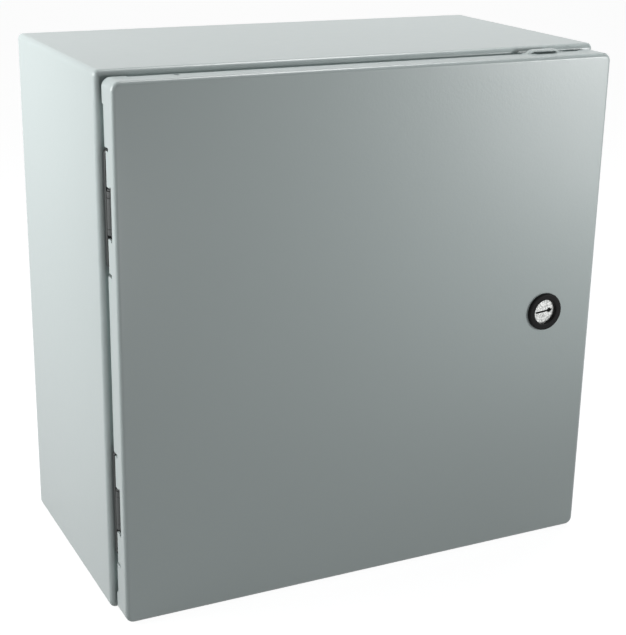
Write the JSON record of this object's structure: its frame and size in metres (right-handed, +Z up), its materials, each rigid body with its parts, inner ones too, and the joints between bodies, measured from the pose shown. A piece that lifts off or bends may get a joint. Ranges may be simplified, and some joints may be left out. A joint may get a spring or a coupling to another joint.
{
  "type": "wall-mounted electrical control enclosure",
  "caption": "Folded steel wall box with a pan door on concealed pin hinges, a foam seal, a slotted quarter-turn lock and a galvanised inner mounting panel.",
  "frame": {"origin": "centre of the wall fixing holes, on the outer face of the rear wall", "axes": "+Z up, +Y into the wall, +X to the right seen from the front; the door faces -Y"},
  "size_m": [0.38, 0.2126, 0.38],
  "materials": {
    "grey_paint": "satin powder coat",
    "galvanised": "galvanised",
    "zinc_plate": "zinc plated",
    "die_cast": "bright die-cast",
    "black_polyamide": "moulded",
    "seal_foam": "foamed"
  },
  "bodies": {
    "cabinet": {"cabinet_shell": "grey_paint", "mounting_panel": "galvanised", "panel_studs": "zinc_plate", "panel_spacers": "zinc_plate", "panel_washers": "zinc_plate", "panel_nuts": "zinc_plate", "gland_plate": "grey_paint", "gland_gasket": "seal_foam", "gland_studs": "zinc_plate", "gland_washers": "zinc_plate", "gland_nuts": "zinc_plate", "earth_stud": "zinc_plate", "earth_washer": "zinc_plate", "earth_nut": "zinc_plate", "upper_hinge_leaf": "die_cast", "lower_hinge_leaf": "die_cast", "upper_hinge_pin": "zinc_plate", "lower_hinge_pin": "zinc_plate", "hinge_screws": "zinc_plate"},
    "door": {"door_panel": "grey_paint", "door_gasket": "seal_foam", "upper_hinge_bracket": "die_cast", "lower_hinge_bracket": "die_cast", "lock_housing": "black_polyamide", "lock_seal": "seal_foam", "lock_nut": "zinc_plate", "door_earth_stud": "zinc_plate", "door_earth_washer": "zinc_plate", "door_earth_nut": "zinc_plate"},
    "lock": {"lock_spindle": "die_cast", "lock_cam": "zinc_plate", "cam_washer": "zinc_plate", "cam_screw": "zinc_plate"}
  },
  "joints": [
    {"name": "door_hinge", "type": "hinge", "parent": "cabinet", "child": "door", "pos_m": [-0.18375, -0.196, -0.00305], "axis": [0, 0, -1], "range_deg": [0, 130]},
    {"name": "lock_turn", "type": "hinge", "parent": "door", "child": "lock", "pos_m": [0.14425, -0.196, -0.00335], "axis": [0, -1, 0], "range_deg": [0, 90]}
  ]
}
